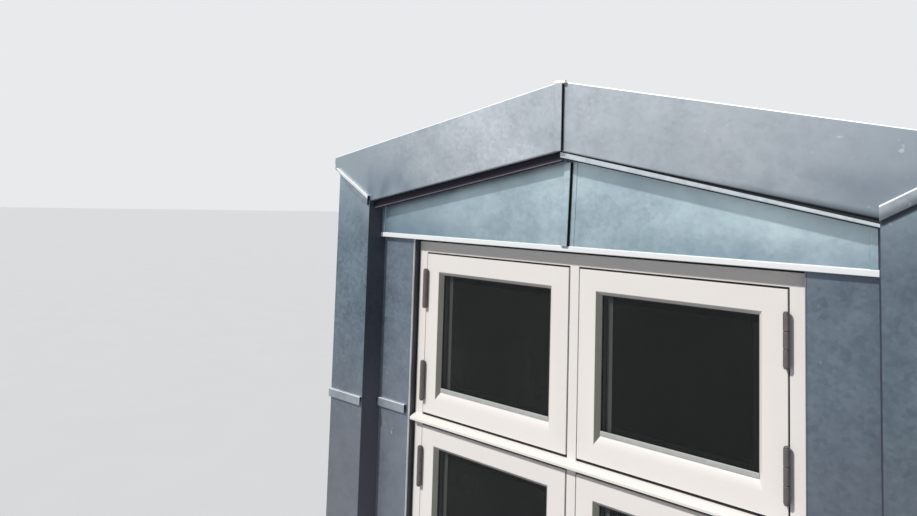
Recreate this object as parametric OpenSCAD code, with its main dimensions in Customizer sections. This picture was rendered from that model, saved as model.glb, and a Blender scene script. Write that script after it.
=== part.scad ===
/* [Window] */
// Width of the timber window frame
window_w = 1182; // [900:1:1500]
// Height of the timber window frame
window_h = 1163; // [900:1:1400]
// Depth of the timber window frame from front to room side
frame_d = 105; // [100:1:140]
// Width of the jambs seen from the front
jamb_face = 33; // [28:0.5:50]
// Height of the head and bottom members seen from the front
head_face = 49.5; // [40:0.5:70]
// Width of the upright in the middle of the window
mullion_face = 28; // [20:0.5:50]
// Height of the crossbar between upper and lower sashes
transom_face = 27.5; // [24:0.5:50]
// Gap beside each sash
sash_gap = 3.5; // [2:0.5:5]
// Gap over each sash
sash_head = 5; // [2:0.5:8]
// Gap under each sash
sash_rise = 8.5; // [4:0.5:10]
// Depth of the sash timber
sash_d = 52; // [45:1:60]
// Distance by which the sashes stand in front of the frame
sash_proud = 2; // [0:0.5:10]
// Width of the sash timber seen from the front
sash_face = 55; // [45:1:70]
// Width of the bevel between sash face and glass
bevel_w = 10; // [5:0.5:14]
// Height of the sash timber under its lower bevel
sill_face = 50; // [40:0.5:60]
// Height of the wider bevel under each pane
sill_bevel_h = 23; // [10:0.5:30]
// Depth of the glass behind the sash face
glass_in = 12; // [8:0.5:18]
// Thickness of a double-glazed pane
glass_t = 24; // [18:1:28]
// Depth to which the pane is held in the sash
glass_hold = 12; // [8:1:14]
// Depth of the step that each sash closes against
rebate = 14; // [10:1:16]

/* [Hinges] */
// Length of one hinge
hinge_l = 120; // [90:1:140]
// Diameter of the hinge knuckles
hinge_dia = 15; // [10:0.5:18]
// Distance from the top of an upper sash to the middle of its upper hinge
hinge_top = 111; // [90:1:140]
// Distance from the top of a lower sash to the middle of its upper hinge
hinge_low_top = 126; // [90:1:140]
// Distance from the foot of a sash to the middle of its lower hinge
hinge_foot = 101; // [90:1:140]

/* [Front] */
// Height from the foot of the front to the underside of the window frame
sill_h = 249; // [230:1:400]
// Joint between the window frame and the wall round it
wall_joint = 8; // [6:1:16]
// Width of the flat zinc panel at each side of the window
side_w = 155; // [100:1:220]
// Width of the front face of each side wall
pilaster_w = 159; // [130:1:220]
// Overhang of the eaves beyond the side walls
eave_out = 28; // [20:1:60]
// Height from the top of the frame to the inner foot of the fascia
head_h = 112; // [90:1:200]
// Height of the fascia, measured upright
fascia_h = 189; // [170:1:240]
// Height of the eave edge
eave_h = 44; // [36:1:60]
// Slope of the dormer roof in degrees
roof_slope = 11.5; // [8:0.5:20]
// Slope of the main roof on which the dormer sits, in degrees
main_pitch = 45; // [42:0.5:50]

/* [Depths] */
// Depth of the gable panel behind the front face
gable_in = 52; // [45:1:70]
// Depth of the side panels behind the front face
side_in = 65; // [62:1:90]
// Depth of the window frame behind the side panels
frame_in = 23; // [10:1:30]
// Thickness of the wall round the window
wall_t = 120; // [100:1:140]
// Distance by which each side panel stands in from the pilaster edge
return_splay = 16; // [0:1:24]

/* [Zinc] */
// Thickness of the folded zinc, with its lining
sheet_t = 1.5; // [1:0.1:2.5]
// Width of a fold laid over a seam
fold_w = 27; // [20:1:32]
// Height of a seam laid over the sheet
fold_h = 10; // [7:0.5:12]
// Height of an upright seam on roof and side walls
rib_h = 25; // [20:1:28]
// Width of an upright seam
rib_w = 6; // [4:0.5:10]
// Distance between upright seams
tray_w = 430; // [350:5:500]
// Height of the seam across the pilasters above the foot
cross_h = 875; // [700:1:1000]
// Distance of the seam across the side panels below that of the pilasters
cross_drop = 7; // [0:1:20]
// Upright distance of the mitre seam's head above the joint that it covers
mitre_rise = 25; // [16:1:30]
// Width of the folded strip at each end of the gable
end_strip = 16; // [10:1:24]
// Depth of the drip under the gable panel
drip_h = 14.5; // [10:0.5:22]
// Half width of the ridge cap
ridge_half = 110; // [80:1:140]
// Height of the ridge cap above the roof
ridge_rise = 12; // [10:1:30]

/* [Timber] */
// Height of the kerb that lies on the main roof
kerb_h = 45; // [35:1:60]
// Depth of the seal in the joint round the frame
seal_d = 60; // [40:1:80]

/* [Hidden] */
$fn = 48;

// Half widths across the front, from the middle outwards
frame_x = window_w / 2;
reveal_x = frame_x + wall_joint;
return_x = reveal_x + side_w;
wall_x = return_x + pilaster_w;
eave_x = wall_x + eave_out;

// The middle of the kerb's front member lies on the origin
seat_in = side_in + sheet_t + wall_t / 2;
slope = tan(roof_slope);
pitch = tan(main_pitch);
foot_z = -seat_in * pitch;

// Heights
frame_z0 = foot_z + sill_h;
frame_z1 = frame_z0 + window_h;
gable_z0 = frame_z1 + wall_joint;
under_z = frame_z1 + head_h + return_x * slope;
apex_z = under_z + fascia_h;
deck_drop = 9;
drip_rise = 6.5;
drip_z1 = frame_z1 + drip_rise;
drip_z0 = drip_z1 - drip_h;
eave_z1 = apex_z - eave_x * slope;
eave_z0 = eave_z1 - eave_h;
cross_z = foot_z + cross_h;
side_cross_z = cross_z - cross_drop;
mitre_foot_z = under_z - return_x * slope;
mitre_slope = (eave_z0 - mitre_foot_z) / (eave_x - return_x);
apron_z1 = frame_z0 - wall_joint;
back = apex_z / pitch + seat_in + kerb_h;
bite = 1;
big = 3 * eave_x;

// Depths, measured from the origin
face_y = -seat_in;
gable_y = face_y + gable_in;
side_y = face_y + side_in;
core_y = side_y + sheet_t;
frame_y = side_y + frame_in;
sash_y = frame_y - sash_proud;
wall_y1 = core_y + wall_t;
strip_in = 18;
strip_y = face_y + strip_in;
strip_drop = 23;
seal_in = 20;
sill_lip_in = 30;
sill_lip_y = face_y + sill_lip_in;
sill_fall = 8;
sill_lip = 22;
sill_back = 30;
drip_out = 3;
bar_out = 22;
bar_nose = 8.5;
bar_drop = 8.8;
corner_return = 24;
ridge_in = 90;
roof_lap = 4;
eave_drop = 14;
rib_clear = 8;
rib_web = 1.6;
rib_head = 2;
rib_lip = 8;
rib_sink = 0.2;
roof_in = 3;
fold_inset = 12;
fold_clear = 2;
cap_h = 9;
cap_rise = 1;
seam_short = 30;
strip_proud = 2.5;
seam_lean = 8;

// Sash sizes and places
stop_y = sash_y + sash_d;
light_w = (window_w - 2 * jamb_face - mullion_face) / 2;
light_h = (window_h - 2 * head_face - transom_face) / 2;
sash_w = light_w - 2 * sash_gap;
sash_h = light_h - sash_head - sash_rise;
light_x = mullion_face / 2;
low_light_z = frame_z0 + head_face;
high_light_z = low_light_z + light_h + transom_face;
transom_z = low_light_z + light_h;
pane_inset = sash_face + bevel_w;
pane_sill = sill_face + sill_bevel_h;

// Height of a line parallel to the roof at distance x from the middle
function under_at(x) = under_z - slope * x;
function top_at(x) = apex_z - slope * x;
function mitre_at(x) = mitre_foot_z + mitre_slope * (x - return_x);

// Inner face of a pilaster's return at depth y
function return_at(y) = return_x - return_splay * (y - face_y) / side_in;

// A flat outline in the front plane, made into a slab from y0 to y1
module slab(y0, y1) {
    translate([0, y1, 0])
        rotate([90, 0, 0])
            linear_extrude(y1 - y0)
                children();
}

// A flat outline in the side plane, made into a bar from x0 to x1
module bar(x0, x1) {
    translate([x0, 0, 0])
        rotate([90, 0, 90])
            linear_extrude(x1 - x0)
                children();
}

module block(p0, p1) {
    translate(p0)
        cube(p1 - p0);
}

// Everything is cut where it meets the slope of the main roof
module above_roof() {
    difference() {
        children();
        bar(-big, big)
            polygon([[-big, -big * pitch], [big, big * pitch], [big, -2 * big * pitch],
                [-big, -2 * big * pitch]]);
    }
}

// Walls stand on the kerb
module above_kerb() {
    difference() {
        children();
        bar(-big, big)
            polygon([[-big, -big * pitch + kerb_h], [big, big * pitch + kerb_h],
                [big, -2 * big * pitch], [-big, -2 * big * pitch]]);
    }
}

module on_side(side) {
    if (side < 0)
        mirror([1, 0, 0])
            children();
    else
        children();
}

// Flat kerb, open towards the back, that lies on the main roof
module roof_kerb() {
    y1 = mitre_foot_z / pitch;
    color("burlywood")
        difference() {
            bar(-wall_x + sheet_t, wall_x - sheet_t)
                polygon([[face_y + sheet_t, (face_y + sheet_t) * pitch], [y1, y1 * pitch],
                    [y1, y1 * pitch + kerb_h],
                    [face_y + sheet_t, (face_y + sheet_t) * pitch + kerb_h]]);
            block([-return_x - sheet_t, wall_y1, -big], [return_x + sheet_t, big, big]);
            block([-return_x - sheet_t, -big, -big], [return_x + sheet_t, core_y, big]);
            slab(-big, big)
                polygon([[-big, under_at(big)], [0, under_z], [big, under_at(big)], [big, big],
                    [-big, big]]);
        }
}

// Side wall, from the kerb up to the underside of the roof
module cheek_wall(side) {
    x0 = return_x + sheet_t;
    x1 = wall_x - sheet_t;
    color("tan")
        on_side(side)
            above_kerb()
                slab(face_y + sheet_t, back)
                    polygon([[x0, foot_z], [x1, foot_z], [x1, under_at(x1)], [x0, under_at(x0)]]);
}

// Post between the window and the side wall
module window_post(side) {
    color("tan")
        on_side(side)
            above_kerb()
                block([reveal_x, core_y, foot_z], [return_x + sheet_t, wall_y1, gable_z0]);
}

// Wall over the window, up to the roof
module gable_wall() {
    x1 = return_x + sheet_t;
    color("tan") {
        slab(core_y, wall_y1)
            polygon([[-x1, gable_z0], [x1, gable_z0], [x1, under_at(x1)], [0, under_z],
                [-x1, under_at(x1)]]);
        slab(gable_y + sheet_t, core_y)
            polygon([[-return_x + return_splay, gable_z0], [return_x - return_splay, gable_z0],
                [return_x - return_splay, under_at(return_x) - sheet_t],
                [0, under_z - sheet_t], [-return_x + return_splay, under_at(return_x) - sheet_t]]);
    }
}

// Wall under the window
module sill_wall() {
    color("tan")
        above_kerb()
            block([-reveal_x, core_y, foot_z], [reveal_x, wall_y1, apron_z1]);
}

// Insulated roof, with a thin edge at the eaves
module roof_deck(side) {
    x1 = eave_x - sheet_t;
    color("wheat")
        on_side(side)
            above_roof()
                slab(face_y + sheet_t, back)
                    polygon([[0, apex_z - deck_drop], [x1, top_at(x1) - deck_drop],
                        [x1, eave_z0 + sheet_t], [wall_x - sheet_t, eave_z0 + sheet_t],
                        [wall_x - sheet_t, under_at(wall_x - sheet_t)], [0, under_z]]);
}

// One upright seam: a web with its head folded over
module rib_outline() {
    square([rib_web, rib_h]);
    translate([0, rib_h - rib_head])
        square([rib_w, rib_head]);
    translate([rib_w - rib_web, rib_h - rib_lip])
        square([rib_web, rib_lip]);
}

// Zinc roof in trays, with seams that run down the slope
module roof_zinc(side) {
    y0 = face_y + roof_in;
    z0 = apex_z - deck_drop;
    run = eave_x + roof_lap;
    rib_x = ridge_half + rib_clear;
    // The last seam still has sheet under its upper end
    last_y = (z0 - slope * rib_x) / pitch - rib_w;
    seams = floor((last_y - face_y) / tray_w);
    color("slategray")
        on_side(side)
            above_roof() {
                slab(y0, back)
                    polygon([[0, z0], [run, z0 - slope * run], [run, z0 - slope * run - eave_drop],
                        [run + sheet_t, z0 - slope * run - eave_drop],
                        [run + sheet_t, z0 - slope * run + sheet_t], [0, z0 + sheet_t]]);
                for (i = [1 : seams])
                    translate([0, face_y + i * tray_w, z0 + sheet_t])
                        rotate([0, roof_slope, 0])
                            translate([rib_x, 0, -rib_sink])
                                rotate([90, 0, 90])
                                    linear_extrude((run - rib_x - rib_clear) / cos(roof_slope))
                                        rib_outline();
            }
}

// Raised cap along the ridge
module ridge_cap() {
    z0 = apex_z - deck_drop + sheet_t;
    drop = ridge_half * slope;
    color("lightslategray")
        above_roof()
            slab(face_y + ridge_in, back)
                polygon([[0, z0 + ridge_rise], [ridge_half, z0 + ridge_rise - drop],
                    [ridge_half, z0 - drop], [ridge_half - 2, z0 - drop + 0.4],
                    [ridge_half - 2, z0 + ridge_rise - drop - 1.6], [0, z0 + ridge_rise - 2],
                    [-ridge_half + 2, z0 + ridge_rise - drop - 1.6],
                    [-ridge_half + 2, z0 - drop + 0.4], [-ridge_half, z0 - drop],
                    [-ridge_half, z0 + ridge_rise - drop]]);
}

// Upright edge and underside of the eaves
module eave_trim(side) {
    x0 = eave_x - sheet_t;
    color("slategray")
        on_side(side)
            above_roof()
                slab(face_y + sheet_t, back)
                    polygon([[x0, top_at(eave_x) - deck_drop - sheet_t],
                        [eave_x, top_at(eave_x) - deck_drop - sheet_t], [eave_x, eave_z0],
                        [wall_x, eave_z0], [wall_x, eave_z0 + sheet_t], [x0, eave_z0 + sheet_t]]);
}

// Zinc on the side wall, in trays with upright seams
module cheek_zinc(side) {
    y0 = face_y + corner_return;
    seams = floor((back - y0) / tray_w);
    color("slategray")
        on_side(side)
            above_roof() {
                block([wall_x - sheet_t, y0, foot_z], [wall_x, back, eave_z0]);
                for (i = [0 : seams])
                    translate([wall_x - rib_sink, i == 0 ? y0 : face_y + i * tray_w, foot_z])
                        rotate([0, 0, -90])
                            mirror([1, 0, 0])
                                linear_extrude(eave_z0 - foot_z)
                                    rib_outline();
            }
}

// Cross-section of the folded sheet round the front edge of a side wall
module pilaster_outline() {
    inner_x = return_x - return_splay;
    polygon([[return_x, face_y], [wall_x, face_y], [wall_x, face_y + corner_return],
        [wall_x - sheet_t, face_y + corner_return], [wall_x - sheet_t, face_y + sheet_t],
        [return_x + sheet_t, face_y + sheet_t], [inner_x + sheet_t, side_y],
        [inner_x, side_y]]);
}

// Seam across a sheet: a fold that hangs over it and stands open below
module cross_fold(x0, x1, y, z) {
    bar(x0, x1)
        polygon([[y, z], [y - fold_h, z], [y - fold_h, z - fold_w], [y - fold_h + sheet_t, z - fold_w],
            [y - fold_h + sheet_t, z - sheet_t], [y, z - sheet_t]]);
}

module pilaster_upper(side) {
    lap_x = return_x + 2 * sheet_t;
    color("lightslategray")
        on_side(side) {
            difference() {
                translate([0, 0, cross_z])
                    linear_extrude(apex_z - cross_z)
                        pilaster_outline();
                slab(face_y - bite, face_y + sheet_t)
                    polygon([[return_x, mitre_foot_z], [eave_x, eave_z0], [eave_x, apex_z + bite],
                        [return_x, apex_z + bite]]);
                slab(face_y - bite, face_y + corner_return + bite)
                    square_at(lap_x, eave_z0, eave_x, apex_z + bite);
                slab(face_y - bite, side_y + bite)
                    polygon([[0, under_z - sheet_t], [lap_x, under_at(lap_x) - sheet_t],
                        [lap_x, apex_z + bite], [0, apex_z + bite]]);
            }
            cross_fold(return_x, wall_x, face_y, cross_z);
        }
}

module pilaster_lower(side) {
    color("lightslategray")
        on_side(side)
            above_roof()
                translate([0, 0, foot_z])
                    linear_extrude(cross_z - sheet_t - foot_z)
                        pilaster_outline();
}

// Flat panel beside the window, folded back beside the frame above the sill
module side_sheet(z0, z1) {
    x1 = return_x - return_splay;
    block([reveal_x, side_y, z0], [x1, core_y, z1]);
    z_fold = max(z0, apron_z1 + sheet_t);
    translate([0, 0, z_fold])
        linear_extrude(z1 - z_fold)
            polygon([[reveal_x - sheet_t, side_y], [reveal_x + 1, side_y], [reveal_x + 1, core_y],
                [reveal_x, core_y], [reveal_x, frame_y + seal_in],
                [reveal_x - sheet_t, frame_y + seal_in]]);
}

module side_panel_upper(side) {
    color("slategray")
        on_side(side) {
            side_sheet(side_cross_z, gable_z0);
            cross_fold(reveal_x + fold_inset, return_x - return_splay - fold_clear, side_y, side_cross_z);
        }
}

module side_panel_lower(side) {
    color("slategray")
        on_side(side)
            above_roof()
                side_sheet(foot_z, side_cross_z - sheet_t);
}

// Sloping front board of the roof, mitred over the side wall
module fascia(side) {
    hem = 14;
    color("lightsteelblue")
        on_side(side) {
            slab(face_y, face_y + sheet_t)
                polygon([[0, apex_z], [eave_x, eave_z1], [eave_x, eave_z0],
                    [return_x, mitre_foot_z], [0, under_z]]);
            slab(face_y + sheet_t, face_y + hem)
                polygon([[0, apex_z], [eave_x, eave_z1], [eave_x, eave_z1 - sheet_t],
                    [0, apex_z - sheet_t]]);
        }
}

// Fold along the mitre between fascia and pilaster, cut level at the eaves
module mitre_seam(side) {
    head = [for (x = [return_x, eave_x + big]) [x, mitre_at(x) + mitre_rise]];
    drop = fold_w / cos(atan(mitre_slope));
    color("lightsteelblue")
        on_side(side)
            intersection() {
                union() {
                    slab(face_y - fold_h, face_y - fold_h + sheet_t)
                        polygon([head[0], head[1], head[1] - [0, drop], head[0] - [0, drop]]);
                    slab(face_y - fold_h, face_y)
                        polygon([head[0], head[1], head[1] - [0, sheet_t], head[0] - [0, sheet_t]]);
                }
                slab(face_y - fold_h - bite, face_y + bite)
                    square_at(return_x, 0, eave_x + 3, eave_z0 + 4);
            }
}

// Fold over the joint of the two fascias, open to the right, with a small cap on its head
module apex_cap() {
    x0 = -14;
    x1 = 10;
    color("lightsteelblue") {
        slab(face_y - fold_h, face_y - fold_h + sheet_t)
            square_at(x0, under_z - fold_clear, x1, apex_z - cap_h);
        slab(face_y - fold_h + sheet_t, face_y)
            square_at(x0, under_z - fold_clear, x0 + sheet_t, apex_z - cap_h);
        slab(face_y - fold_h, face_y)
            square_at(x0, apex_z - cap_h, x1 + cap_h, apex_z + cap_rise);
    }
}

// One half of the gable, with the drip below and the fascia above
module gable_panel(side) {
    x1 = return_at(gable_y + sheet_t);
    foot_x = -19;
    fold_x = 1;
    top_z = under_z - seam_short;
    color("lightslategray") {
        on_side(side) {
            slab(gable_y, gable_y + sheet_t)
                polygon([[0, drip_z1], [x1, drip_z1], [x1, under_at(x1) - sheet_t],
                    [0, under_z - sheet_t]]);
            slab(gable_y - strip_proud, gable_y)
                polygon([[x1 - end_strip, drip_z1], [x1, drip_z1], [x1, under_at(x1) - sheet_t],
                    [x1 - end_strip, under_at(x1 - end_strip) - sheet_t]]);
        }
        if (side < 0) {
            slab(gable_y - fold_h, gable_y - fold_h + sheet_t)
                polygon([[foot_x, drip_z1], [fold_x, drip_z1], [fold_x + seam_lean, top_z],
                    [foot_x + seam_lean, top_z]]);
            slab(gable_y - fold_h + sheet_t, gable_y)
                polygon([[foot_x, drip_z1], [foot_x + sheet_t, drip_z1],
                    [foot_x + sheet_t + seam_lean, top_z], [foot_x + seam_lean, top_z]]);
        }
    }
}

module square_at(x0, z0, x1, z1) {
    translate([x0, z0])
        square([x1 - x0, z1 - z0]);
}

// Drip strip at the foot of the gable, with the flange over the window head
module gable_drip() {
    drip_y = gable_y - drip_out;
    x1 = return_at(drip_y + sheet_t);
    x2 = return_at(side_y);
    color("white") {
        slab(drip_y, drip_y + sheet_t)
            square_at(-x1, drip_z0, x1, drip_z1);
        translate([0, 0, drip_z1 - sheet_t])
            linear_extrude(sheet_t)
                polygon([[-x1, drip_y + sheet_t], [x1, drip_y + sheet_t], [x2, side_y], [-x2, side_y]]);
        slab(side_y, frame_y + seal_in)
            square_at(-reveal_x + sheet_t, drip_z1 - sheet_t, reveal_x - sheet_t, drip_z1);
    }
}

// Lining under the projecting roof edge, with a hanging strip
module soffit(side) {
    x1 = return_x;
    x2 = return_at(strip_y + sheet_t);
    color("dimgray")
        on_side(side) {
            slab(face_y, gable_y + sheet_t)
                polygon([[0, under_z], [x1, under_at(x1)], [x1, under_at(x1) - sheet_t],
                    [0, under_z - sheet_t]]);
            slab(strip_y, strip_y + sheet_t)
                polygon([[0, under_z], [x2, under_at(x2)], [x2, under_at(x2) - strip_drop],
                    [0, under_z - strip_drop]]);
        }
}

// Sloping zinc sill under the window
module sill_flashing() {
    z1 = apron_z1;
    color("slategray")
        bar(-reveal_x, reveal_x)
            polygon([[wall_y1 - sill_back, z1], [wall_y1 - sill_back, z1 + sheet_t],
                [side_y, z1 + sheet_t], [sill_lip_y, z1 - sill_fall],
                [sill_lip_y, z1 - sill_fall - sill_lip],
                [sill_lip_y + sheet_t, z1 - sill_fall - sill_lip],
                [sill_lip_y + sheet_t, z1 - sill_fall - sheet_t / 2], [side_y, z1]]);
}

// Panel under the sill
module apron_panel() {
    color("slategray")
        above_roof()
            slab(side_y, core_y)
                square_at(-reveal_x, foot_z, reveal_x, apron_z1);
}

// Seal in the joint round the window frame
module joint_seal() {
    y0 = frame_y + seal_in;
    color("black")
        slab(y0, y0 + seal_d)
            difference() {
                square_at(-reveal_x, apron_z1 + sheet_t, reveal_x, gable_z0);
                square_at(-frame_x, frame_z0, frame_x, frame_z1);
            }
}

// The four openings of the frame, narrowed behind the sashes
module light_openings(inset) {
    for (x0 = [-light_x - light_w, light_x])
        for (z0 = [low_light_z, high_light_z])
            square_at(x0 + inset, z0 + inset, x0 + light_w - inset, z0 + light_h - inset);
}

module window_frame() {
    color("linen") {
        slab(frame_y, stop_y)
            difference() {
                square_at(-frame_x, frame_z0, frame_x, frame_z1);
                light_openings(0);
            }
        slab(stop_y, frame_y + frame_d)
            difference() {
                square_at(-frame_x, frame_z0, frame_x, frame_z1);
                light_openings(rebate);
            }
    }
}

// Weathered moulding on the front of the crossbar, with a slope that sheds water and a drip below
module transom_moulding() {
    z1 = transom_z + transom_face;
    z0 = transom_z + bar_drop;
    y0 = sash_y - bar_out;
    color("linen")
        bar(-frame_x, frame_x)
            polygon([[frame_y, z0], [y0 + 5, z0], [y0 + 3.5, z0 + 2], [y0 + 2, z0], [y0, z0],
                [y0, z0 + bar_nose], [sash_y, z1], [frame_y, z1]]);
}

// A bevelled sash, grooved for its pane
module sash(x0, z0) {
    xa = x0 + sash_gap;
    za = z0 + sash_rise;
    y_pane = sash_y + glass_in;
    color("ivory")
        difference() {
            block([xa, sash_y, za], [xa + sash_w, stop_y, za + sash_h]);
            slab(sash_y - bite, stop_y + bite)
                square_at(xa + pane_inset, za + pane_sill, xa + sash_w - pane_inset,
                    za + sash_h - pane_inset);
            block([xa + pane_inset - glass_hold, y_pane, za + pane_sill - glass_hold],
                [xa + sash_w - pane_inset + glass_hold, y_pane + glass_t,
                za + sash_h - pane_inset + glass_hold]);
            intersection() {
                translate([0, 0, za])
                    linear_extrude(sash_h)
                        polygon([[xa + sash_face, sash_y], [xa + pane_inset, y_pane],
                            [xa + sash_w - pane_inset, y_pane], [xa + sash_w - sash_face, sash_y]]);
                bar(xa, xa + sash_w)
                    polygon([[sash_y, za + sill_face], [y_pane, za + pane_sill],
                        [y_pane, za + sash_h - pane_inset], [sash_y, za + sash_h - sash_face]]);
            }
        }
}

module window_panes() {
    y_pane = sash_y + glass_in;
    color("darkslategray", 0.6)
        for (x0 = [-light_x - light_w, light_x])
            for (z0 = [low_light_z, high_light_z])
                block([x0 + sash_gap + pane_inset - glass_hold, y_pane,
                    z0 + sash_rise + pane_sill - glass_hold],
                    [x0 + light_w - sash_gap - pane_inset + glass_hold, y_pane + glass_t,
                    z0 + light_h - sash_head - pane_inset + glass_hold]);
}

// Hinge with three knuckles, its leaf on the face of the frame
module hinge(side, z) {
    knuckle = hinge_l / 3;
    x = light_x + light_w - sash_gap;
    leaf_t = 3;
    y = sash_y - hinge_dia / 2 - leaf_t + 2;
    on_side(side) {
        for (i = [0 : 2])
            translate([x, y, z - hinge_l / 2 + i * knuckle + 0.5])
                cylinder(h = knuckle - 1, d = hinge_dia);
        translate([x, y, z - hinge_l / 2 - 3])
            cylinder(h = hinge_l + 6, d = hinge_dia - 6);
        block([x - 6, sash_y - leaf_t, z - hinge_l / 2], [x + 2, sash_y, z + hinge_l / 2]);
    }
}

module window_hinges() {
    color("gray")
        for (side = [-1, 1])
            for (row = [[low_light_z, hinge_low_top], [high_light_z, hinge_top]]) {
                hinge(side, row[0] + sash_rise + hinge_foot);
                hinge(side, row[0] + sash_rise + sash_h - row[1]);
            }
}

roof_kerb();
cheek_wall(-1);  // cheek_wall_left
cheek_wall(1);  // cheek_wall_right
window_post(-1);  // window_post_left
window_post(1);  // window_post_right
gable_wall();
sill_wall();
roof_deck(-1);  // roof_deck_left
roof_deck(1);  // roof_deck_right
roof_zinc(-1);  // roof_zinc_left
roof_zinc(1);  // roof_zinc_right
ridge_cap();
eave_trim(-1);  // eave_trim_left
eave_trim(1);  // eave_trim_right
cheek_zinc(-1);  // cheek_zinc_left
cheek_zinc(1);  // cheek_zinc_right
pilaster_upper(-1);  // pilaster_upper_left
pilaster_upper(1);  // pilaster_upper_right
pilaster_lower(-1);  // pilaster_lower_left
pilaster_lower(1);  // pilaster_lower_right
side_panel_upper(-1);  // side_panel_upper_left
side_panel_upper(1);  // side_panel_upper_right
side_panel_lower(-1);  // side_panel_lower_left
side_panel_lower(1);  // side_panel_lower_right
fascia(-1);  // fascia_left
fascia(1);  // fascia_right
mitre_seam(-1);  // mitre_seam_left
mitre_seam(1);  // mitre_seam_right
apex_cap();
gable_panel(-1);  // gable_panel_left
gable_panel(1);  // gable_panel_right
gable_drip();
soffit(-1);  // soffit_left
soffit(1);  // soffit_right
sill_flashing();
apron_panel();
joint_seal();
window_frame();
transom_moulding();
sash(-light_x - light_w, high_light_z);  // sash_upper_left
sash(light_x, high_light_z);  // sash_upper_right
sash(-light_x - light_w, low_light_z);  // sash_lower_left
sash(light_x, low_light_z);  // sash_lower_right
window_panes();
window_hinges();
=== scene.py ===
import math

import bpy
from mathutils import Matrix, Vector


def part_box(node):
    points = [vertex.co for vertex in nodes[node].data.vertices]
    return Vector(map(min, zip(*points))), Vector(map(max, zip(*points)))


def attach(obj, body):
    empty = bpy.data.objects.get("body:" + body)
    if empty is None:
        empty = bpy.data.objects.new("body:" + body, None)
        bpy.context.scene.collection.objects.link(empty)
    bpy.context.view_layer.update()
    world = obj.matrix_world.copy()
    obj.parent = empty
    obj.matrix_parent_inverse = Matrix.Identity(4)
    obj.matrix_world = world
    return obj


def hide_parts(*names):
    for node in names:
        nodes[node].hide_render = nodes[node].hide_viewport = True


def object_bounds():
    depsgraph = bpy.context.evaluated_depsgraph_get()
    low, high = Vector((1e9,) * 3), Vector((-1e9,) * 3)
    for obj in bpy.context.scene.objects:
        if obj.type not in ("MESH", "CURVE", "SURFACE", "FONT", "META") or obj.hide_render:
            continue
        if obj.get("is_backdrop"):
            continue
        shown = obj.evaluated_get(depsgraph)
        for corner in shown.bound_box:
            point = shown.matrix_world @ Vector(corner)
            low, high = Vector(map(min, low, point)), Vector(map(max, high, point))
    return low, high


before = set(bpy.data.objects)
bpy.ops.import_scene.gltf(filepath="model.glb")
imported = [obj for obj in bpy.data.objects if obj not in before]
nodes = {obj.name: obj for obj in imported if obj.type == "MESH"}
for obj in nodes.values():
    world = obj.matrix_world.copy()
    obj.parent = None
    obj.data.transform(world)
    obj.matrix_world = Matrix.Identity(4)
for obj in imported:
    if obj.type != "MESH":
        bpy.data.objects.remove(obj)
cad_low, cad_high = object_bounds()


# Camera
# A phone held a step to the right of the window, level with the upper sashes and looking to the left.
# Its place, turn and length come from the straight edges of the window and the zinc.
PHOTO_W = 917
PHOTO_H = 516
focal_px = 720.0
axis_x_px = 447.15
axis_y_px = 148.65
sensor_mm = 36.0
eye = Vector((1.0720, -1.7683, 1.4055))
turn_left = 0.7335
tilt_up = 0.0722
roll = 0.0315
camera_data = bpy.data.cameras.new("camera")
camera_data.sensor_width = sensor_mm
camera_data.lens = focal_px / PHOTO_W * sensor_mm
camera_data.shift_x = (PHOTO_W / 2 - axis_x_px) / PHOTO_W
camera_data.shift_y = (axis_y_px - PHOTO_H / 2) / PHOTO_W
camera_data.clip_start = 0.02
camera_data.clip_end = 200.0
camera = bpy.data.objects.new("camera", camera_data)
bpy.context.scene.collection.objects.link(camera)
camera.matrix_world = (
    Matrix.Translation(eye)
    @ Matrix.Rotation(turn_left, 4, "Z")
    @ Matrix.Rotation(math.pi / 2 + tilt_up, 4, "X")
    @ Matrix.Rotation(roll, 4, "Z")
)
bpy.context.scene.camera = camera


# Studio
# A pale matt floor that runs to the horizon under a pale sky, a soft key lamp from the upper left
# and an even fill from all round. The floor throws less light up than it shows.
class Tone:
    """A socket in a material. Arithmetic on it adds Math nodes."""

    def __init__(self, tree, socket):
        self.tree = tree
        self.socket = socket

    def node(self, kind, settings=None, inputs=None, output=0):
        """Any node: its settings first, then the values or links of its sockets."""
        made = self.tree.nodes.new(kind)
        for key, value in (settings or {}).items():
            setattr(made, key, value)
        for key, value in (inputs or {}).items():
            if isinstance(value, Tone):
                self.tree.links.new(value.socket, made.inputs[key])
            else:
                made.inputs[key].default_value = value
        return Tone(self.tree, made.outputs[output])

    def maths(self, operation, *others):
        """A Math node that starts with this tone."""
        return self.node("ShaderNodeMath", {"operation": operation}, dict(enumerate((self, *others))))

    def __add__(self, other):
        return self.maths("ADD", other)

    def __mul__(self, other):
        return self.maths("MULTIPLY", other)

    def __sub__(self, other):
        return self.maths("SUBTRACT", other)

    def __rsub__(self, other):
        return self.maths("MULTIPLY_ADD", -1.0, other)

    def __truediv__(self, other):
        return self.maths("DIVIDE", other)

    def size(self):
        return self.maths("ABSOLUTE")

    def rise(self, low, high):
        """0 at low and below, 1 at high and above, smooth between them."""
        if low > high:
            return 1 - self.rise(high, low)
        inputs = {"Value": self, "From Min": low, "From Max": high}
        return self.node("ShaderNodeMapRange", {"interpolation_type": "SMOOTHSTEP"}, inputs)

    def axes(self):
        """The x, y and z of a place."""
        parts = self.tree.nodes.new("ShaderNodeSeparateXYZ")
        self.tree.links.new(self.socket, parts.inputs["Vector"])
        return [Tone(self.tree, parts.outputs[i]) for i in range(3)]


def linear(red, green, blue):
    """A colour given as 0 to 255 on a screen, as a shader takes it."""
    shares = (red / 255, green / 255, blue / 255)
    return tuple(s / 12.92 if s < 0.04045 else ((s + 0.055) / 1.055) ** 2.4 for s in shares) + (1.0,)


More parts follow.
